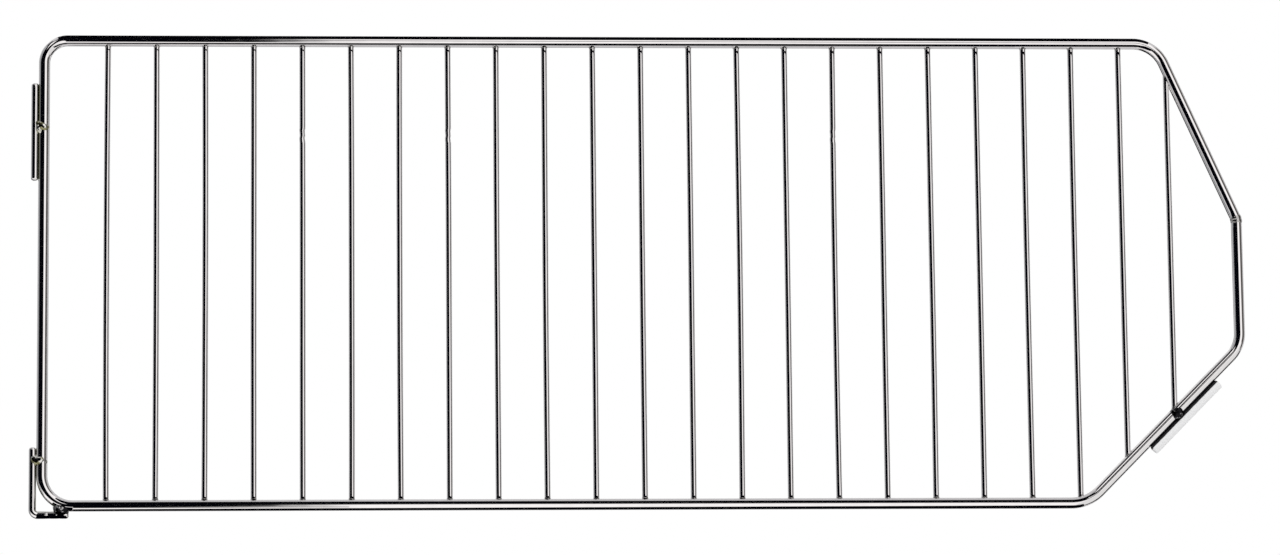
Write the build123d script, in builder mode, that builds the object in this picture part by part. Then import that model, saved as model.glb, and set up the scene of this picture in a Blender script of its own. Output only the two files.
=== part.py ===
# Wire divider panel: a bent round-rod frame filled with thin upright wires, all welded and chrome plated.
#
# The panel stands upright in the XZ plane. +X runs from its rear edge to its front edge, +Z is up, and Y is its
# thickness. The origin is the bottom centre of the whole panel's box. Millimetres.

from build123d import *
import os
from math import atan, degrees, radians, cos, sqrt, tan

os.makedirs("parts", exist_ok=True)

# ---- frame rod: its centreline runs, seen from the side ----
frame_rod_d = 4.5
frame_length = 494.0  # rear upright to front upright
frame_height = 193.0  # bottom rail to top rail
slope_run = 32.5  # how far the upper front run leans back
kink_z = 118.5  # height of the sharp, welded kink above the bottom rail
chamfer_run = 65.0  # length and rise of the 45 degree lower front run
top_rear_bend = 9.5
bottom_rear_bend = 12.5
bottom_front_bend = 17.0
lower_front_bend = 14.0
top_front_bend = 14.0
butt_weld_d = 4.9  # bead round the kink, where the rod's two ends meet

# ---- upright wires ----
wire_d = 2.4
wire_count = 23
wire_pitch = 20.0
first_wire_x = 26.0  # from the rear upright
collar_foot_d = 3.9  # the flared foot of each upright's weld
collar_neck_d = 2.8
collar_rise = 1.3  # its neck, above the frame rod's surface
collar_sink = 0.9  # its foot, below that surface

# ---- outboard rods, all touching the outside of the frame rod ----
rear_clip_d = 3.0
rear_clip_bottom_z = 134.5
rear_clip_top_z = 175.0
rear_clip_weld_z = 156.8
hook_d = 3.0
hook_top_z = 24.0
hook_end_x = 11.0
hook_bend = 2.3
hook_upper_weld_z = 18.6
hook_lower_weld_x = 8.0
front_clip_d = 4.0
front_clip_start = 35.0  # along the 45 degree run, from its lower corner
front_clip_length = 39.5
front_clip_weld_reach = 52.4  # along the same run
rod_end_round = 0.6
weld_d = 5.8
weld_inset = 1.1  # each nugget's middle, inwards from the line where the two rods touch

# ---- worked-out sizes, and places measured from the corner where the rear upright meets the bottom rail ----
rod_r = frame_rod_d / 2
wire_r = wire_d / 2
weld_r = weld_d / 2
rear_clip_x = -(rod_r + rear_clip_d / 2)
hook_offset = -(rod_r + hook_d / 2)
weld_offset = weld_inset - rod_r
front_clip_offset = rod_r + front_clip_d / 2
box_left = -(rod_r + rear_clip_d)
box_right = frame_length + butt_weld_d / 2
box_bottom = -(rod_r + hook_d)
origin_x = -(box_left + box_right) / 2
origin_z = -box_bottom
side_view = Plane(origin=(origin_x, 0, origin_z), x_dir=(1, 0, 0), z_dir=(0, -1, 0))
slope_rise = frame_height - kink_z
slope_top_x = frame_length - slope_run
chamfer_start_x = frame_length - chamfer_run
diagonal = sqrt(0.5)  # sine and cosine of the 45 degree run


def at(x, z):
    """The point x forward of and z above the frame's bottom rear corner, in the panel's middle plane."""
    return Vector(origin_x + x, 0, origin_z + z)


def on_chamfer(reach, outward):
    """The point that far along the 45 degree run from its lower corner, and outward of its centreline."""
    return at(chamfer_start_x + (reach + outward) * diagonal, (reach - outward) * diagonal)


def bottom_run(x):
    """Height and slope in degrees of the frame's lower centreline at x."""
    return (0.0, 0.0) if x < chamfer_start_x else (x - chamfer_start_x, 45.0)


def top_run(x):
    """Height and slope in degrees of the frame's upper centreline at x."""
    if x < slope_top_x:
        return frame_height, 0.0
    steepness = slope_rise / slope_run
    return frame_height - (x - slope_top_x) * steepness, degrees(atan(steepness))


# The frame: one rod bent round five corners, its two ends butted at the sharp kink.
with BuildPart() as perimeter_frame:
    with BuildLine(side_view) as frame_line:
        FilletPolyline(
            (frame_length, kink_z),
            (slope_top_x, frame_height),
            (0, frame_height),
            (0, 0),
            (chamfer_start_x, 0),
            (frame_length, chamfer_run),
            radius=[0, top_front_bend, top_rear_bend, bottom_rear_bend, bottom_front_bend, lower_front_bend],
            close=True,
        )
    frame_path = frame_line.wire()
    with BuildSketch(Plane(origin=frame_path @ 0, z_dir=frame_path % 0)):
        Circle(rod_r)
    sweep(path=frame_path, transition=Transition.RIGHT)
perimeter_frame.part.label = "perimeter_frame"
export_step(perimeter_frame.part, "parts/perimeter_frame.step")

# The bead of upset metal round the butt joint.
with BuildPart() as frame_butt_weld:
    with Locations(at(frame_length, kink_z)):
        Sphere(butt_weld_d / 2)
    add(perimeter_frame.part, mode=Mode.SUBTRACT)
frame_butt_weld.part.label = "frame_butt_weld"
export_step(frame_butt_weld.part, "parts/frame_butt_weld.step")

# The uprights: each runs between two points of the frame's centreline, and its ends are coped to the rod.
wire_places = [first_wire_x + number * wire_pitch for number in range(wire_count)]
for number, x in enumerate(wire_places, start=1):
    foot = bottom_run(x)[0]
    head = top_run(x)[0]
    with BuildPart() as upright_wire:
        with BuildSketch(Plane(at(x, foot))):
            Circle(wire_r)
        extrude(amount=head - foot)
        add(perimeter_frame.part, mode=Mode.SUBTRACT)
    upright_wire.part.label = f"upright_wire_{number:02d}"
    export_step(upright_wire.part, f"parts/{upright_wire.part.label}.step")


def collar_span(slope):
    """How far along its wire a collar's foot and neck lie from the frame rod's centreline."""
    surface = rod_r / cos(radians(slope))
    lean = wire_r * tan(radians(slope))
    return surface - collar_sink - lean, surface + collar_rise + lean


# The weld collars: a flared ring of upset metal round each end of each upright.
with BuildPart() as bottom_weld_collars:
    for x in wire_places:
        centreline, slope = bottom_run(x)
        foot, neck = collar_span(slope)
        with Locations(at(x, centreline + foot)):
            Cone(collar_foot_d / 2, collar_neck_d / 2, neck - foot, align=(Align.CENTER, Align.CENTER, Align.MIN))
        with Locations(at(x, centreline)):
            Cylinder(wire_r, 2 * neck, mode=Mode.SUBTRACT)
    add(perimeter_frame.part, mode=Mode.SUBTRACT)
bottom_weld_collars.part.label = "bottom_weld_collars"
export_step(bottom_weld_collars.part, "parts/bottom_weld_collars.step")

with BuildPart() as top_weld_collars:
    for x in wire_places:
        centreline, slope = top_run(x)
        foot, neck = collar_span(slope)
        with Locations(at(x, centreline - neck)):
            Cone(collar_neck_d / 2, collar_foot_d / 2, neck - foot, align=(Align.CENTER, Align.CENTER, Align.MIN))
        with Locations(at(x, centreline)):
            Cylinder(wire_r, 2 * neck, mode=Mode.SUBTRACT)
    add(perimeter_frame.part, mode=Mode.SUBTRACT)
top_weld_collars.part.label = "top_weld_collars"
export_step(top_weld_collars.part, "parts/top_weld_collars.step")

# The rear clip: a straight rod along the outside of the rear upright.
with BuildPart() as rear_clip_rod:
    with BuildSketch(Plane(at(rear_clip_x, rear_clip_bottom_z))):
        Circle(rear_clip_d / 2)
    extrude(amount=rear_clip_top_z - rear_clip_bottom_z)
    fillet(rear_clip_rod.edges().filter_by(GeomType.CIRCLE), rod_end_round)
rear_clip_rod.part.label = "rear_clip_rod"
export_step(rear_clip_rod.part, "parts/rear_clip_rod.step")

# The corner hook: a rod bent to an L round the outside of the bottom rear corner.
with BuildPart() as corner_hook_rod:
    with BuildLine(side_view) as hook_line:
        FilletPolyline(
            (hook_offset, hook_top_z),
            (hook_offset, hook_offset),
            (hook_end_x, hook_offset),
            radius=hook_bend,
        )
    with BuildSketch(Plane(origin=hook_line.line @ 0, z_dir=hook_line.line % 0)):
        Circle(hook_d / 2)
    sweep(path=hook_line.line)
    hook_ends = corner_hook_rod.faces().filter_by(GeomType.PLANE)
    fillet(hook_ends.edges(), rod_end_round)
corner_hook_rod.part.label = "corner_hook_rod"
export_step(corner_hook_rod.part, "parts/corner_hook_rod.step")

# The front clip: a thicker straight rod along the outside of the 45 degree run.
with BuildPart() as front_clip_rod:
    with BuildSketch(Plane(origin=on_chamfer(front_clip_start, front_clip_offset), z_dir=(1, 0, 1))):
        Circle(front_clip_d / 2)
    extrude(amount=front_clip_length)
    fillet(front_clip_rod.edges().filter_by(GeomType.CIRCLE), rod_end_round)
front_clip_rod.part.label = "front_clip_rod"
export_step(front_clip_rod.part, "parts/front_clip_rod.step")

# The weld nuggets of the outboard rods: each bulges on both faces of the panel, between its two rods.
nuggets = {
    "rear_clip_weld": (at(weld_offset, rear_clip_weld_z), rear_clip_rod),
    "corner_hook_upper_weld": (at(weld_offset, hook_upper_weld_z), corner_hook_rod),
    "corner_hook_lower_weld": (at(hook_lower_weld_x, weld_offset), corner_hook_rod),
    "front_clip_weld": (on_chamfer(front_clip_weld_reach, -weld_offset), front_clip_rod),
}
for label, (middle, outboard_rod) in nuggets.items():
    with BuildPart() as nugget:
        with Locations(middle):
            Sphere(weld_r)
        add(perimeter_frame.part, mode=Mode.SUBTRACT)
        add(outboard_rod.part, mode=Mode.SUBTRACT)
    nugget.part.label = label
    export_step(nugget.part, f"parts/{label}.step")
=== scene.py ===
from math import radians

import bpy
import numpy as np
from mathutils import Matrix, Vector


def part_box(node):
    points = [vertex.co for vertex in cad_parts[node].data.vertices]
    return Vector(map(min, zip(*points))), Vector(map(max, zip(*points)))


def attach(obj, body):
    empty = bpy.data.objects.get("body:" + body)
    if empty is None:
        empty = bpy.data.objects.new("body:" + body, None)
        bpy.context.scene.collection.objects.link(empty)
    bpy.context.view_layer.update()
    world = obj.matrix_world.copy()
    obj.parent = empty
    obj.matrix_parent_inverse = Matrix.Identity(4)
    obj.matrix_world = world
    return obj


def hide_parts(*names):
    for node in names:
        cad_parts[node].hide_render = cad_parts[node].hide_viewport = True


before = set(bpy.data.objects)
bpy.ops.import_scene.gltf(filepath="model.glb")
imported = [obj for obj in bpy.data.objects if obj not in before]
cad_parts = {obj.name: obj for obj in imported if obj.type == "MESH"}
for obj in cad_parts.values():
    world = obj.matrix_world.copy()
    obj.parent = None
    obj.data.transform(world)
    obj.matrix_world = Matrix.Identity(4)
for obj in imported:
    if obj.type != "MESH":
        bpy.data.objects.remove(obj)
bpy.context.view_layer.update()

# ---- Camera ----
# A long lens in front of the near face, a little left of the panel's middle and below it, looking up.
camera_data = bpy.data.cameras.new("camera")
camera_data.lens = 148.87
camera_data.sensor_width = 36.0
camera_data.clip_end = 40.0
camera = bpy.data.objects.new("camera", camera_data)
bpy.context.scene.collection.objects.link(camera)
bpy.context.scene.camera = camera
aim = Vector((-0.0007, 0.0, 0.09936))
camera_distance = 2.1833
camera_round = -3.966
camera_up = 9.186
camera_roll = -0.634
camera_turn = (
    Matrix.Rotation(radians(camera_round), 4, "Z")
    @ Matrix.Rotation(radians(90 + camera_up), 4, "X")
    @ Matrix.Rotation(radians(camera_roll), 4, "Z")
)
camera.matrix_world = Matrix.Translation(aim) @ camera_turn @ Matrix.Translation((0, 0, camera_distance))

# ---- Frame rod ----
# One 4.5 mm round steel rod, bent cold round five corners and butted end to end at the sharp front kink.
# The finished panel is nickel and chrome plated, so the rod is mirror bright under very faint draw lines.
mm = 0.001
frame_radius = 2.25 * mm
frame_length = 494 * mm
frame_height = 193 * mm
frame_sides = 64
kink_height = 118.5 * mm
slope_run = 32.5 * mm
chamfer_run = 65 * mm
frame_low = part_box("perimeter_frame")[0]
corner_x = frame_low.x + frame_radius
corner_z = frame_low.z + frame_radius


def bent_line(corners, bends, step):
    """Centreline of a rod bent at corners in the XZ plane, as points and headings. A bend of radius R
    and turn T takes R tan(T / 2) off the run on each side of it. A run is equal steps, and a bend is
    chords of 2 R sin(t / 2), with the heading turning by t at each. Every point is the start plus the
    sum of the steps before it."""
    chord_turn = radians(2.5)
    corners = np.asarray(corners, float) + (corner_x, corner_z)
    bends = np.asarray(bends, float)
    legs = np.diff(corners, axis=0)
    leg_heading = np.arctan2(legs[:, 1], legs[:, 0])
    turns = (np.diff(leg_heading) + np.pi) % (2 * np.pi) - np.pi
    cuts = bends * np.tan(np.abs(turns) / 2)
    runs = np.hypot(legs[:, 0], legs[:, 1]) - np.append(cuts, 0) - np.append(0, cuts)
    chords = []
    swings = []
    for number, run in enumerate(runs):
        count = int(np.ceil(run / step))
        chords.append(np.full(count, run / count))
        swings.append(np.zeros(count))
        if number < len(turns):
            count = int(np.ceil(np.abs(turns[number]) / chord_turn))
            swing = turns[number] / count
            chords.append(np.full(count, 2 * bends[number] * np.sin(abs(swing) / 2)))
            swings.append(np.full(count, swing))
    chords = np.concatenate(chords)
    swings = np.concatenate(swings)
    heading = leg_heading[0] + np.append(0, np.cumsum(swings))
    middle = heading[:-1] + swings / 2
    steps = np.stack([np.cos(middle), np.sin(middle)], 1) * chords[:, None]
    points = corners[0] + np.concatenate([np.zeros((1, 2)), np.cumsum(steps, 0)])
    return points, heading


def new_object(name, vertices, faces, smooth):
    """An object made of those vertices and faces, with its own middle left at the scene's origin."""
    mesh = bpy.data.meshes.new(name)
    mesh.from_pydata(vertices, [], faces)
    mesh.polygons.foreach_set("use_smooth", np.full(len(faces), smooth))
    mesh.update()
    made = bpy.data.objects.new(name, mesh)
    bpy.context.scene.collection.objects.link(made)
    return made


def cells(grid):
    """The four corners of each cell of a grid, taken in turn round the cell."""
    return np.stack([grid[:-1, :-1], grid[:-1, 1:], grid[1:, 1:], grid[1:, :-1]], 2)


def grid_piece(name, points, uv, loop=False):
    """A piece from a grid of points: rows along it, columns wrapping round it. With loop the rows wrap
    too, and without it each end row is fanned to its own middle. uv has one more row and column than a
    looped grid of points."""
    rows, columns = points.shape[:2]
    vertices = points.reshape(-1, 3)
    index = np.arange(rows * columns).reshape(rows, columns)
    index = np.pad(index, ((0, int(loop)), (0, 1)), "wrap")
    uv = uv[: len(index)]
    faces = cells(index).reshape(-1, 4).tolist()
    face_uv = cells(uv).reshape(-1, 2)
    if not loop:
        vertices = np.concatenate([vertices, points[[0, -1]].mean(1)])
        first = np.full(columns, rows * columns)
        faces += np.stack([first, index[0, 1:], index[0, :-1]], 1).tolist()
        faces += np.stack([first + 1, index[-1, :-1], index[-1, 1:]], 1).tolist()
        first_uv = np.stack([uv[0, :-1], uv[0, 1:], uv[0, :-1]], 1).reshape(-1, 2)
        last_uv = np.stack([uv[-1, :-1], uv[-1, :-1], uv[-1, 1:]], 1).reshape(-1, 2)
        face_uv = np.concatenate([face_uv, first_uv, last_uv])
    piece = new_object(name, vertices.tolist(), faces, True)
    layer = piece.data.uv_layers.new(name="along_round")
    layer.data.foreach_set("uv", face_uv.astype(np.float32).ravel())
    return piece


def rod_piece(name, line, heading, radius, around, loop=False, depth=0.0):
    """A round rod carried along a line in the XZ plane: point = centre + radius (cos v N - sin v Y),
    where N is the line's left normal (-sin heading, cos heading). radius and depth, its offset along Y,
    may change along the rod."""
    radius = np.broadcast_to(radius, len(line))
    depth = np.broadcast_to(depth, len(line))
    v = np.linspace(0, 2 * np.pi, around, endpoint=False)
    normal = np.stack([-np.sin(heading), np.zeros(len(line)), np.cos(heading)], 1)
    ring = normal[:, None] * np.cos(v)[:, None] - np.array((0, 1, 0)) * np.sin(v)[:, None]
    centre = np.stack([line[:, 0], depth, line[:, 1]], 1)
    points = centre[:, None] + ring * radius[:, None, None]
    gaps = np.diff(np.concatenate([line, line[:1]]), axis=0)
    run = np.append(0, np.cumsum(np.hypot(gaps[:, 0], gaps[:, 1])))
    girth = np.linspace(0, 2 * np.pi * radius.max(), around + 1)
    uv = np.stack(np.meshgrid(run, girth, indexing="ij"), -1)
    return grid_piece(name, points, uv, loop)


def new_material(name):
    """A new material, its nodes and links, and its shader."""
    material = bpy.data.materials.new(name)
    material.use_nodes = True
    return material, material.node_tree, material.node_tree.nodes["Principled BSDF"]


def noise(tree, place, scale, detail, stretch=(1, 1, 1)):
    """A noise over one kind of place on the piece, made finer along each axis by that axis's stretch."""
    where = tree.nodes.new("ShaderNodeTexCoord")
    stretched = tree.nodes.new("ShaderNodeMapping")
    stretched.inputs["Scale"].default_value = stretch
    tree.links.new(where.outputs[place], stretched.inputs["Vector"])
    grain = tree.nodes.new("ShaderNodeTexNoise")
    grain.inputs["Scale"].default_value = scale
    grain.inputs["Detail"].default_value = detail
    tree.links.new(stretched.outputs["Vector"], grain.inputs["Vector"])
    return grain.outputs["Fac"]


def spread(tree, value, low, high, to_low=0, to_high=1):
    """The value carried evenly from between low and high to between to_low and to_high."""
    span = tree.nodes.new("ShaderNodeMapRange")
    span.inputs["From Min"].default_value = low
    span.inputs["From Max"].default_value = high
    span.inputs["To Min"].default_value = to_low
    span.inputs["To Max"].default_value = to_high
    tree.links.new(value, span.inputs["Value"])
    return span.outputs["Result"]


def blend(tree, share, below, colour):
    """A flat colour laid over the colour below, which is flat too or comes from a node, by that share."""
    mix = tree.nodes.new("ShaderNodeMix")
    mix.data_type = "RGBA"
    tree.links.new(share, mix.inputs["Factor"])
    if isinstance(below, tuple):
        mix.inputs["A"].default_value = (*below, 1)
    else:
        tree.links.new(below, mix.inputs["A"])
    mix.inputs["B"].default_value = (*colour, 1)
    return mix.outputs["Result"]


def relief(tree, height, distance, below=None):
    """Surface relief of that height and distance, on top of any relief below it."""
    bump = tree.nodes.new("ShaderNodeBump")
    bump.inputs["Distance"].default_value = distance
    tree.links.new(height, bump.inputs["Height"])
    if below is not None:
        tree.links.new(below, bump.inputs["Normal"])
    return bump.outputs["Normal"]


def plated_steel(name, tint, gloss, draw_lines, pitting, groove=None):
    """Bright plating over drawn steel. The UV map is metres along and round the rod, so a noise
    stretched along it gives draw lines, a slow one gives the soft waver of a cold bent rod, and a sharp
    fine one gives pits. groove is the colour laid where the attribute toward_frame says that the rod
    faces its neighbour: olive heat tint and painted shade in the groove between the two rods."""
    cloud_shade = 0.93
    pit_shade = 0.45
    waver_depth = 0.03 * mm
    material, tree, shader = new_material(name)
    shader.inputs["Metallic"].default_value = 1.0
    gloss_spread = 0.03
    lines = noise(tree, "UV", scale=1, detail=4, stretch=(12, 2600, 1))
    cloud = noise(tree, "UV", scale=160, detail=3)
    waver = noise(tree, "UV", scale=1, detail=2, stretch=(34, 90, 1))
    pits = spread(tree, noise(tree, "UV", scale=420, detail=1), low=0.80, high=0.86)
    clouded = spread(tree, cloud, low=0.35, high=0.75)
    plating = blend(tree, clouded, tint, cloud_shade * np.array(tint))
    plating = blend(tree, pits, plating, pit_shade * np.array(tint))
    # Where the rod faces its neighbour, the groove colour is laid on: olive heat tint and painted shade.
    if groove is not None:
        facing = tree.nodes.new("ShaderNodeAttribute")
        facing.attribute_name = "toward_frame"
        groove_tint_and_shade = spread(tree, facing.outputs["Fac"], low=0.55, high=0.75)
        plating = blend(tree, groove_tint_and_shade, plating, groove)
    tree.links.new(plating, shader.inputs["Base Color"])
    dullness = spread(tree, cloud, low=0.3, high=0.8, to_low=gloss, to_high=gloss + gloss_spread)
    tree.links.new(dullness, shader.inputs["Roughness"])
    bumps = relief(tree, waver, waver_depth)
    bumps = relief(tree, lines, draw_lines, bumps)
    bumps = relief(tree, pits, -pitting, bumps)
    tree.links.new(bumps, shader.inputs["Normal"])
    return material


def finish_piece(piece, material, slot, *nodes):
    """Gives a piece its finish, and puts it on the panel's one body in place of its plain solids."""
    piece.data.materials.append(material)
    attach(piece, "root")
    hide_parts(*nodes)


kink = (frame_length, kink_height)
frame_corners = [
    kink,
    (frame_length - slope_run, frame_height),
    (0, frame_height),
    (0, 0),
    (frame_length - chamfer_run, 0),
    (frame_length, chamfer_run),
    kink,
]
frame_bends = [14 * mm, 9.5 * mm, 12.5 * mm, 17 * mm, 14 * mm]
frame_line, frame_heading = bent_line(frame_corners, frame_bends, step=4 * mm)
half_kink = ((frame_heading[-1] - frame_heading[0] + np.pi) % (2 * np.pi) - np.pi) / 2
frame_heading[0] += half_kink
frame_rod = rod_piece("frame_rod", frame_line[:-1], frame_heading[:-1], frame_radius, frame_sides, loop=True)
frame_chrome = plated_steel(
    "frame_chrome", tint=(0.93, 0.92, 0.92), gloss=0.02, draw_lines=0.0005 * mm, pitting=0.01 * mm
)
finish_piece(frame_rod, frame_chrome, "frame_chrome", "perimeter_frame")

# ---- Butt weld ----
# The bead of upset metal round the kink, where the rod's two ends were flash welded and dressed before
# plating. It stands proud in two low rings, with a waist between them at the joint itself.
bead_reach = 1.5 * mm
bead_rise = 0.17 * mm
bead_sink = 0.05 * mm
bead_rows = 25
bead_sides = 40
turn_sharpness = 4
waist_depth = 0.8
waist_sharpness = 6
bead_run = np.linspace(-1, 1, bead_rows)
bead_heading = frame_heading[0] - half_kink * np.tanh(bead_run * turn_sharpness)
bead_way = np.stack([np.cos(bead_heading), np.sin(bead_heading)], 1)
bead_line = np.array(kink) + (corner_x, corner_z)
bead_line = bead_line + bead_way * (bead_run * bead_reach)[:, None]
bead_swell = (bead_rise + bead_sink) * (1 - bead_run**4)
bead_waist = 1 - waist_depth * np.exp(-(bead_run * waist_sharpness) ** 2)
bead_radius = frame_radius - bead_sink + bead_swell * bead_waist
butt_bead = rod_piece("butt_weld_bead", bead_line, bead_heading, bead_radius, bead_sides)
weld_steel = plated_steel(
    "weld_chrome", tint=(0.55, 0.54, 0.53), gloss=0.09, draw_lines=0.02 * mm, pitting=0.05 * mm
)
finish_piece(butt_bead, weld_steel, "weld_chrome", "frame_butt_weld")

# ---- Upright wires ----
# Twenty-three drawn steel wires at an even pitch, cross-wire welded between the two rails by a machine.
# Each runs a little into the rod at both ends, and none is perfectly straight. Three have a shallow scuff.
wire_radius = 1.2 * mm
wire_count = 23
wire_pitch = 20 * mm
wire_rows = 180
wire_sides = 32
first_wire = 26 * mm
wire_sink = 1.4 * mm
wire_bow = 0.12 * mm
wire_ripple = 0.03 * mm
sway_beat = 7
swing_beat = 9
scuffed = (4, 7, 15)
scuff_height = 153.5 * mm
scuff_depth = 0.24 * mm
scuff_reach = 2.4 * mm
scuff_ripple = 0.6 * mm
scuff_thinning = 0.4
wire_chrome = plated_steel(
    "wire_chrome", tint=(0.93, 0.92, 0.92), gloss=0.02, draw_lines=0.0004 * mm, pitting=0.008 * mm
)
wire_x = first_wire + wire_pitch * np.arange(wire_count)
rail_end = frame_length - chamfer_run
slope_start = frame_length - slope_run
slope_fall = (frame_height - kink_height) / slope_run
foot_z = np.maximum(wire_x - rail_end, 0)
head_z = frame_height - np.maximum(wire_x - slope_start, 0) * slope_fall
draws = np.random.default_rng(23)
for number in range(wire_count):
    run = np.linspace(foot_z[number] + wire_sink, head_z[number] - wire_sink, wire_rows)
    share = (run - run[0]) / (run[-1] - run[0])
    arch = np.sin(np.pi * share)
    phase = draws.uniform(0, 2 * np.pi, 3)
    sway = draws.normal(0, wire_bow) * arch + wire_ripple * np.sin(sway_beat * share + phase[0]) * arch
    swing = draws.normal(0, wire_bow) * arch + wire_ripple * np.sin(swing_beat * share + phase[1]) * arch
    wire_line = np.stack([corner_x + wire_x[number] + sway, corner_z + run], 1)
    wire_heading = np.pi / 2 - np.gradient(sway, run)
    scuff = scuff_depth * np.exp(-(((run - scuff_height) / scuff_reach) ** 4)) * (number in scuffed)
    wire_line[:, 0] -= scuff * (0.5 + 0.5 * np.sin(run / scuff_ripple))
    girth = wire_radius - scuff_thinning * scuff
    wire = rod_piece(f"upright_{number + 1:02d}", wire_line, wire_heading, girth, wire_sides, depth=swing)
    finish_piece(wire, wire_chrome, "wire_chrome", f"upright_wire_{number + 1:02d}")


# ---- Weld collars ----
# The small flared foot at each end of each upright, where the two metals were pressed together while hot.
def collars(name, rail_z, slopes, side, seed):
    """One flared collar for each upright. Round the wire at angle a, a foot point at radius F stands on
    the rod, whose surface is at x tan(slope) + sqrt(R^2 - y^2) / cos(slope) from its centreline. From
    there a quarter ellipse rises to the neck on the wire. The profile then returns inside the wire, so
    each collar is a closed ring. Rises and flares are drawn in millimetres, and are uneven round it."""
    around = 28
    rises = (0.4, 0.8)
    flares = (0.18, 0.36)
    unevenness = 0.09
    any_phase = 6.3
    skin = 0.02 * mm
    foot_sink = 0.03 * mm
    neck_tuck = 0.05 * mm
    inner_drop = 0.5 * mm
    outer_drop = 0.35 * mm
    inner_share = 0.75
    outer_share = 0.93
    draws = np.random.default_rng(seed)
    a = np.linspace(0, 2 * np.pi, around, endpoint=False)
    t = np.linspace(0, 1, 7)
    inner = np.full((1, around), inner_share * wire_radius)
    rings = []
    for x, z, slope in zip(wire_x, rail_z, slopes):
        wave = 1 + sum(
            draws.normal(0, unevenness) * np.cos(k * a + draws.uniform(0, any_phase)) for k in (1, 2, 3)
        )
        rise = draws.uniform(*rises) * mm * wave
        flare = draws.uniform(*flares) * mm * wave
        radius = wire_radius + skin + flare[None] * (1 - np.sin(np.pi / 2 * t))[:, None]
        lift = rise[None] * (1 - np.cos(np.pi / 2 * t))[:, None] - foot_sink
        radius = np.concatenate([radius, inner, inner, radius[:1] * outer_share])
        neck = lift[-1:]
        foot = lift[:1]
        lift = np.concatenate([lift, neck - neck_tuck, foot - inner_drop, foot - outer_drop])
        dx = radius * np.cos(a)
        y = radius * np.sin(a)
        surface = np.sqrt(np.maximum(frame_radius**2 - y**2, 0)) / np.cos(slope)
        height = side * (surface + lift) + dx * np.tan(slope)
        rings.append(np.stack([corner_x + x + dx, y, corner_z + z + height], -1))
    rings = np.array(rings)
    if side > 0:
        rings = rings[:, :, ::-1]
    count, rows, columns = rings.shape[:3]
    index = np.arange(rows * columns).reshape(rows, columns)
    faces = cells(np.pad(index, ((0, 1), (0, 1)), "wrap")).reshape(-1, 4)
    faces = (faces[None] + (np.arange(count) * rows * columns)[:, None, None]).reshape(-1, 4)
    return new_object(name, rings.reshape(-1, 3).tolist(), faces.tolist(), True)


def two_tones(tree, value, start, first, end, second):
    """A colour that is first up to the value start, and turns evenly to second by the value end."""
    ramp = tree.nodes.new("ShaderNodeValToRGB")
    tones = ramp.color_ramp.elements
    tones[0].position = start
    tones[0].color = (*first, 1)
    tones[1].position = end
    tones[1].color = (*second, 1)
    tree.links.new(value, ramp.inputs["Fac"])
    return ramp.outputs["Color"]


def weld_metal(name, tint, soot, scale, cast_depth, gloss, soot_share):
    """Plated weld metal: bright on its crests, dull and heat tinted in its hollows, with a fine cast
    surface. gloss is the roughness of its dullest and brightest parts, and soot_share is how much of it
    is sooty."""
    material, tree, shader = new_material(name)
    shader.inputs["Metallic"].default_value = 1.0
    cast = noise(tree, "Object", scale, detail=4)
    sooty = 0.34 + 0.25 * soot_share
    clean = 0.46 + 0.25 * soot_share
    dullness = spread(tree, cast, low=0.3, high=0.7, to_low=gloss[0], to_high=gloss[1])
    tree.links.new(two_tones(tree, cast, sooty, soot, clean, tint), shader.inputs["Base Color"])
    tree.links.new(dullness, shader.inputs["Roughness"])
    tree.links.new(relief(tree, cast, cast_depth), shader.inputs["Normal"])
    return material


collar_metal = weld_metal(
    "collar_metal",
    tint=(0.70, 0.69, 0.68),
    soot=(0.22, 0.21, 0.19),
    scale=900,
    cast_depth=0.06 * mm,
    gloss=(0.14, 0.05),
    soot_share=0.1,
)
foot_slopes = np.where(wire_x > rail_end, np.pi / 4, 0)
head_slopes = np.where(wire_x > slope_start, -np.arctan(slope_fall), 0)
bottom_collars = collars("bottom_collars", foot_z, foot_slopes, side=1, seed=5)
finish_piece(bottom_collars, collar_metal, "weld_chrome", "bottom_weld_collars")
top_collars = collars("top_collars", head_z, head_slopes, side=-1, seed=6)
finish_piece(top_collars, collar_metal, "weld_chrome", "top_weld_collars")


# ---- Rear clip rod ----
# A straight 3 mm rod, sheared to length and tumbled round at its ends, laid along the outside of the rear
# upright. Where it faces the frame it is coloured dark olive: heat tint and painted shade in the groove.
def round_ends(line, heading, radius, end_round):
    """The line with a rounded end at each end: at angle b of a quarter circle the rod has its radius
    less end_round (1 - sin b), at end_round (1 - cos b) in from the end face."""
    end_rows = 8
    clear = 1.1 * end_round
    b = np.linspace(0, np.pi / 2, end_rows)
    inset = end_round * (1 - np.cos(b))
    taper = radius - end_round * (1 - np.sin(b))
    first = line[0] + inset[:, None] * (np.cos(heading[0]), np.sin(heading[0]))
    last = line[-1] - inset[::-1, None] * (np.cos(heading[-1]), np.sin(heading[-1]))
    gaps = np.diff(line, axis=0)
    run = np.append(0, np.cumsum(np.hypot(gaps[:, 0], gaps[:, 1])))
    keep = (run > clear) & (run < run[-1] - clear)
    return (
        np.concatenate([first, line[keep], last]),
        np.concatenate([np.full(end_rows, heading[0]), heading[keep], np.full(end_rows, heading[-1])]),
        np.concatenate([taper, np.full(keep.sum(), radius), taper[::-1]]),
    )


def mark_facing(piece, around, side):
    """Stores how squarely each point of a rod faces the frame rod: side cos v, and 0 at the middles of
    its ends."""
    rows = (len(piece.data.vertices) - 2) // around
    facing = side * np.cos(np.linspace(0, 2 * np.pi, around, endpoint=False))
    values = np.append(np.tile(facing, rows), (0, 0))
    layer = piece.data.attributes.new("toward_frame", "FLOAT", "POINT")
    layer.data.foreach_set("value", values.astype(np.float32))


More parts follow.
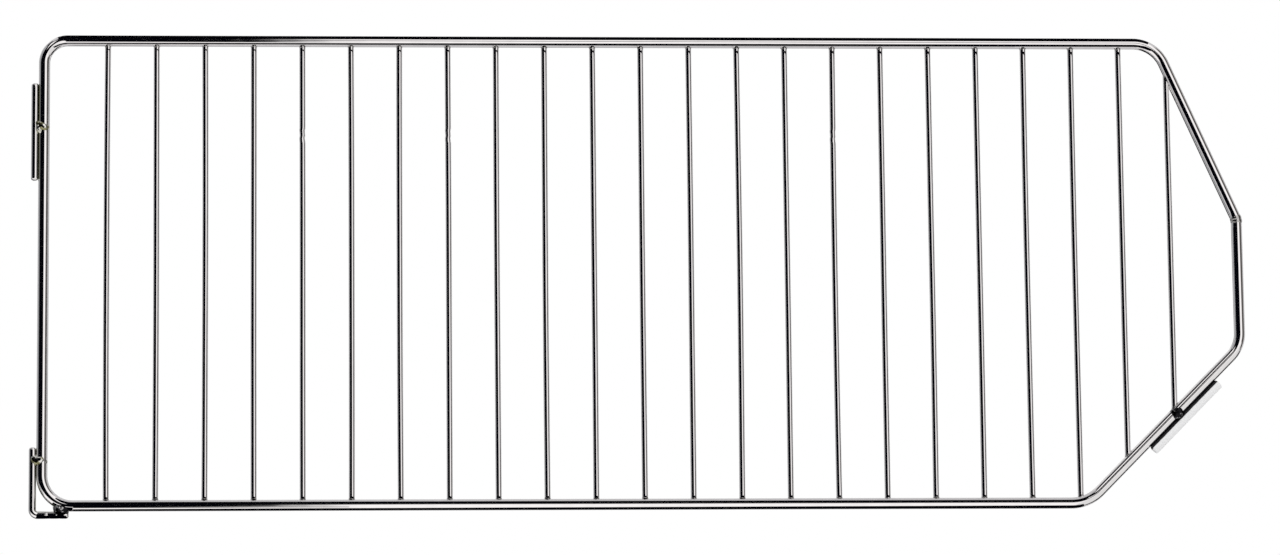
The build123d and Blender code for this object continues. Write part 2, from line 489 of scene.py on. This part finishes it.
clip_sides = 40
# The groove colour is olive heat tint and painted shade, laid on the side that faces the frame rod.
clip_chrome = plated_steel(
    "clip_chrome",
    tint=(0.93, 0.92, 0.91),
    gloss=0.025,
    draw_lines=0.0006 * mm,
    pitting=0.02 * mm,
    groove=(0.20, 0.205, 0.13),
)
rear_clip_radius = 1.5 * mm
rear_clip_x = -(frame_radius + rear_clip_radius)
rear_ends = [(rear_clip_x, 134.5 * mm), (rear_clip_x, 175 * mm)]
rear_line, rear_heading = bent_line(rear_ends, [], step=2 * mm)
rear_rod = round_ends(rear_line, rear_heading, rear_clip_radius, end_round=0.9 * mm)
rear_clip = rod_piece("rear_clip", *rear_rod, clip_sides)
mark_facing(rear_clip, clip_sides, side=-1)
finish_piece(rear_clip, clip_chrome, "clip_chrome", "rear_clip_rod")

# ---- Corner hook ----
# A 3 mm rod bent to a tight L, held to the rear upright and under the bottom rail just past the frame's
# round corner. Its bottom leg is a little uneven from the welding.
hook_radius = 1.5 * mm
hook_offset = -(frame_radius + hook_radius)
hook_corners = [(hook_offset, 24 * mm), (hook_offset, hook_offset), (11 * mm, hook_offset)]
hook_bend = 2.3 * mm
hook_line, hook_heading = bent_line(hook_corners, [hook_bend], step=1 * mm)
hook_run, hook_turn, hook_girth = round_ends(hook_line, hook_heading, hook_radius, end_round=1.1 * mm)
hook_wear = 0.05 * mm
wear_start = 3 * mm
quick_beat = 2.3
slow_beat = 0.9
under_rail = np.clip((hook_run[:, 0] - corner_x) / wear_start, 0, 1)
row = np.arange(len(hook_run))
beats = 1 + np.sin(quick_beat * row) * np.sin(slow_beat * row + 1.0)
hook_girth = hook_girth - hook_wear * under_rail * beats
corner_hook = rod_piece("corner_hook", hook_run, hook_turn, hook_girth, clip_sides)
# The side toward the frame rod takes the clip's groove colour: olive heat tint and painted shade.
mark_facing(corner_hook, clip_sides, side=0.8)
finish_piece(corner_hook, clip_chrome, "clip_chrome", "corner_hook_rod")

# ---- Front clip rod ----
# A thicker, 4 mm rod along the outside of the 45 degree front run. It has a light satin coat over the
# steel, with painted shade laid black in the groove where it touches the frame rod.
front_clip_radius = 2 * mm
front_clip_offset = frame_radius + front_clip_radius
front_clip_sides = 48


def on_chamfer(reach, outward):
    """The point that far along the 45 degree run from its lower corner, and outward of its centreline."""
    return (rail_end + (reach + outward) * np.sqrt(0.5), (reach - outward) * np.sqrt(0.5))


front_ends = [on_chamfer(35 * mm, front_clip_offset), on_chamfer(74.5 * mm, front_clip_offset)]
front_line, front_heading = bent_line(front_ends, [], step=2 * mm)
front_rod = round_ends(front_line, front_heading, front_clip_radius, end_round=0.6 * mm)
front_clip = rod_piece("front_clip", *front_rod, front_clip_sides)
mark_facing(front_clip, front_clip_sides, side=1)
ragged_edge = 0.12
pale_coat, coat_tree, coat = new_material("pale_coat")
coat_facing = coat_tree.nodes.new("ShaderNodeAttribute")
coat_facing.attribute_name = "toward_frame"
# Painted shade: the coat turns black on the side facing the frame rod, with a ragged edge from the noise.
painted_groove_shade = coat_tree.nodes.new("ShaderNodeMath")
painted_groove_shade.operation = "MULTIPLY_ADD"
painted_groove_shade.inputs[1].default_value = ragged_edge
coat_tree.links.new(noise(coat_tree, "Object", scale=700, detail=2), painted_groove_shade.inputs[0])
coat_tree.links.new(coat_facing.outputs["Fac"], painted_groove_shade.inputs[2])
coat_colour = two_tones(
    coat_tree,
    painted_groove_shade.outputs["Value"],
    start=0.47,
    first=(0.88, 0.88, 0.885),
    end=0.56,
    second=(0.006, 0.006, 0.009),
)
coat_tree.links.new(coat_colour, coat.inputs["Base Color"])
coat.inputs["Roughness"].default_value = 0.38
coat.inputs["Specular IOR Level"].default_value = 0.25
finish_piece(front_clip, pale_coat, "clip_chrome", "front_clip_rod")


# ---- Weld nuggets ----
# A tack of melted metal in the groove beside each outboard rod, bulging on both faces, lumpy and heat
# tinted. The one under the hook and the front clip's are burnt nearly black.
def nugget(name, middle, angle, sizes, seed):
    """A lumpy ball: radius 1 plus a sum of seeded cosine waves in direction, scaled by three half sizes
    (along the groove, across it, and through the panel), turned by angle in the XZ plane, and held
    inside the panel's thickness by through / (1 + (through / limit)^12)^(1 / 12)."""
    rows, columns = 40, 64
    pole_gap = 0.02
    wave_scales = (1.6, 3.2, 5.0, 8.0)
    lump_height = 0.11
    lump_fade = 0.6
    any_phase = 6.3
    limit = 2.87 * mm
    draws = np.random.default_rng(seed)
    polar = np.linspace(pole_gap, np.pi - pole_gap, rows)[:, None]
    turn = np.linspace(0, 2 * np.pi, columns, endpoint=False)[None]
    unit = [np.sin(polar) * np.cos(turn), np.sin(polar) * np.sin(turn), np.cos(polar) + 0 * turn]
    unit = np.stack(unit, -1)
    lumps = 0
    for scale in wave_scales:
        pull = draws.normal(0, 1, (3, 3))
        pull *= scale / np.linalg.norm(pull, axis=1, keepdims=True)
        waves = np.cos(unit @ pull.T + draws.uniform(0, any_phase, 3))
        lumps = lumps + waves.sum(-1) * lump_height / scale**lump_fade
    body = unit * (1 + lumps - lumps.mean())[..., None] * np.array(sizes)
    along, across, through = body[..., 0], body[..., 1], body[..., 2]
    through = through / (1 + (through / limit) ** 12) ** (1 / 12)
    x = corner_x + middle[0] + along * np.cos(angle) - across * np.sin(angle)
    z = corner_z + middle[1] + along * np.sin(angle) + across * np.cos(angle)
    points = np.stack([x, -through, z], -1)
    girth = np.linspace(0, 2 * np.pi, columns + 1)
    uv = np.stack(np.meshgrid(np.linspace(0, 1, rows), girth, indexing="ij"), -1)
    return grid_piece(name, points, uv)


tinted_weld = weld_metal(
    "tinted_weld",
    tint=(0.84, 0.84, 0.80),
    soot=(0.27, 0.26, 0.14),
    scale=420,
    cast_depth=0.10 * mm,
    gloss=(0.12, 0.03),
    soot_share=0.3,
)
burnt_weld = weld_metal(
    "burnt_weld",
    tint=(0.62, 0.62, 0.63),
    soot=(0.012, 0.012, 0.014),
    scale=520,
    cast_depth=0.12 * mm,
    gloss=(0.16, 0.05),
    soot_share=0.7,
)
inward = 1.1 * mm - frame_radius
nugget_sizes = (3.1 * mm, 3.0 * mm, 2.8 * mm)
nuggets = [
    ("rear_clip_nugget", "rear_clip_weld", (inward, 156.8 * mm), np.pi / 2, 21, tinted_weld),
    ("hook_upper_nugget", "corner_hook_upper_weld", (inward, 18.6 * mm), np.pi / 2, 42, tinted_weld),
    ("hook_lower_nugget", "corner_hook_lower_weld", (8 * mm, inward), 0, 43, burnt_weld),
    ("front_clip_nugget", "front_clip_weld", on_chamfer(52.4 * mm, -inward), np.pi / 4, 34, burnt_weld),
]
for name, node, middle, angle, seed, metal in nuggets:
    lump = nugget(name, middle, angle, nugget_sizes, seed)
    finish_piece(lump, metal, "weld_chrome", node)

# ---- Floor ----
# A plain pale studio floor. The panel hangs free above it.
floor_drop = 0.6
floor_half = 12.0
floor_corners = [(-1, -1), (1, -1), (1, 1), (-1, 1)]
floor_points = [(floor_half * x, floor_half * y, -floor_drop) for x, y in floor_corners]
floor = new_object("floor", floor_points, [(0, 1, 2, 3)], False)
floor_paint, _, floor_shader = new_material("floor_paint")
floor_shader.inputs["Base Color"].default_value = (0.83, 0.83, 0.83, 1)
floor_shader.inputs["Roughness"].default_value = 0.8
floor.data.materials.append(floor_paint)
floor.visible_glossy = False

# ---- Black cards ----
# Seven narrow black cards lie flat beside the two rails and under the hook, out of sight of the camera, and
# show only in the rods. The outer ones and the hook's draw the panel's outline dark. The inner, corner and
# front ones put dark lines inside the rails.
card_black, _, card_shader = new_material("card_black")
card_shader.inputs["Base Color"].default_value = (0.001, 0.001, 0.003, 1)
card_shader.inputs["Specular IOR Level"].default_value = 0
card_gap = 5 * mm
top_z = corner_z + frame_height
over_top = top_z + card_gap
inside_top = top_z - 3.4 * mm
inside_bottom = corner_z + 3.6 * mm
under_bottom = corner_z - card_gap
under_hook = corner_z - 7.6 * mm
top_rear = corner_x + 4 * mm
top_front = corner_x + slope_start
bend_end = corner_x + 13 * mm
hook_end = corner_x + 12.6 * mm
bottom_front = corner_x + rail_end
# Each card's height, then the place of its left and right ends, each with its near and far edge in mm.
card_places = [
    ("upper_outer_card", over_top, top_rear, (-7.5, 4), top_front, (-7.5, 4)),
    ("upper_inner_card", inside_top, top_rear, (-3.7, -1.9), top_front, (-7.4, -2.0)),
    ("corner_card", inside_bottom, corner_x + 6 * mm, (-3.4, -2.3), bend_end, (-15, -2.3)),
    ("lower_inner_card", inside_bottom, bend_end, (-15, -2.3), bottom_front, (-15, -2.9)),
    ("lower_outer_card", under_bottom, hook_end, (-2.3, 4), bottom_front, (-4.5, 4)),
    ("lower_front_card", under_bottom, hook_end, (-11, -4.9), corner_x + 125 * mm, (-7, -5.6)),
    ("hook_card", under_hook, corner_x - 3 * mm, (-11, 4), corner_x + 12.4 * mm, (-11, 4)),
]
for name, height, left, left_depths, right, right_depths in card_places:
    card_corners = [
        (left, left_depths[0] * mm, height),
        (right, right_depths[0] * mm, height),
        (right, right_depths[1] * mm, height),
        (left, left_depths[1] * mm, height),
    ]
    flat_card = new_object(name, card_corners, [(0, 1, 2, 3)], False)
    flat_card.data.materials.append(card_black)
    flat_card.visible_camera = False
    flat_card.visible_diffuse = False
    flat_card.visible_shadow = False

# ---- Studio ----
# Soft boxes and black cards stand all round the panel. Only its reflections show them, and all other light
# is plain white. A card is two ranges of angle, in degrees: round from the near side towards +X, up from the
# horizon, over the top from the near side, or sideways from the plane x = 0 towards +X.
world = bpy.data.worlds.new("studio")
bpy.context.scene.world = world
world.use_nodes = True
studio = world.node_tree
direction = studio.nodes.new("ShaderNodeTexCoord")
axes = studio.nodes.new("ShaderNodeSeparateXYZ")
studio.links.new(direction.outputs["Generated"], axes.inputs["Vector"])


def compute(operation, first, second=0.0, third=0.0):
    """The result of one sum on numbers or on the values of other nodes."""
    node = studio.nodes.new("ShaderNodeMath")
    node.operation = operation
    for socket, value in zip(node.inputs, (first, second, third)):
        if isinstance(value, (int, float)):
            socket.default_value = value
        else:
            studio.links.new(value, socket)
    return node.outputs["Value"]


def degrees_of(value):
    """A value in radians, as degrees."""
    degrees_in_radian = 57.29578
    return compute("MULTIPLY", value, degrees_in_radian)


def inside(angle, low, high, soft):
    """1 between low and high, 0 outside, with an edge that is soft degrees wide. The angle wraps at 180."""
    half = (high - low) / 2
    off = compute("ABSOLUTE", compute("WRAP", compute("SUBTRACT", angle, (low + high) / 2), 180.0, -180.0))
    edge = studio.nodes.new("ShaderNodeMapRange")
    edge.interpolation_type = "SMOOTHSTEP"
    edge.inputs["From Min"].default_value = half + soft / 2
    edge.inputs["From Max"].default_value = half - soft / 2
    studio.links.new(off, edge.inputs["Value"])
    return edge.outputs["Result"]


forward = compute("MULTIPLY", axes.outputs["Y"], -1.0)
round_angle = degrees_of(compute("ARCTAN2", axes.outputs["X"], forward))
up_angle = degrees_of(compute("ARCSINE", axes.outputs["Z"]))
over_angle = degrees_of(compute("ARCTAN2", axes.outputs["Z"], forward))
side_angle = degrees_of(compute("ARCSINE", axes.outputs["X"]))
pale = (0.60, 0.59, 0.60)
dim = (0.30, 0.31, 0.325)
light = (0.80, 0.79, 0.785)
brown = (0.10, 0.093, 0.088)
black = (0.0008, 0.0009, 0.0025)
white = (1.01, 0.985, 0.98)
# Each card's colour, then two angles, each with its range and the width of its soft edge.
studio_cards = [
    (dim, round_angle, (-118, -82), 6, up_angle, (-60, 60), 8),  # the left wall
    (black, side_angle, (-80, 0.4), 1.4, over_angle, (-30, 66), 5),  # the near left, at eye height
    (white, side_angle, (-60, 0.4), 1.4, over_angle, (-95, -30), 5),  # the near left, below it
    (white, side_angle, (0.4, 51), 1.4, over_angle, (-78, 68), 4),  # the near right
    (black, round_angle, (-1, 11), 2, up_angle, (4, 14), 2),  # a small one, straight ahead
    (brown, round_angle, (52, 106), 3, up_angle, (-14, 50), 6),  # the right wall
    (white, side_angle, (-29, -15), 2, up_angle, (28, 46), 2),  # a small soft box, high on the left
    (black, side_angle, (-42, -29), 2, over_angle, (50, 88), 4),  # beside that soft box
    (light, side_angle, (14, 64), 3, up_angle, (-62, -3), 3),  # low on the right
    (black, round_angle, (97, 138), 4, up_angle, (-62, -12), 4),  # behind on the right, low
    (black, round_angle, (-176, -128), 5, up_angle, (-70, -2), 4),  # behind on the left, low
    (black, side_angle, (-30, 30), 6, over_angle, (156, 204), 5),  # straight behind
]
reflected = pale
for colour, first, first_range, first_soft, second, second_range, second_soft in studio_cards:
    first_mask = inside(first, *first_range, first_soft)
    second_mask = inside(second, *second_range, second_soft)
    reflected = blend(studio, compute("MULTIPLY", first_mask, second_mask), reflected, colour)
light_path = studio.nodes.new("ShaderNodeLightPath")
backdrop = studio.nodes.new("ShaderNodeMix")
backdrop.data_type = "RGBA"
studio.links.new(light_path.outputs["Is Glossy Ray"], backdrop.inputs["Factor"])
backdrop.inputs["A"].default_value = (1, 1, 1, 1)
studio.links.new(reflected, backdrop.inputs["B"])
studio.links.new(backdrop.outputs["Result"], studio.nodes["Background"].inputs["Color"])
bpy.context.scene.view_settings.view_transform = "Standard"

bpy.context.view_layer.update()
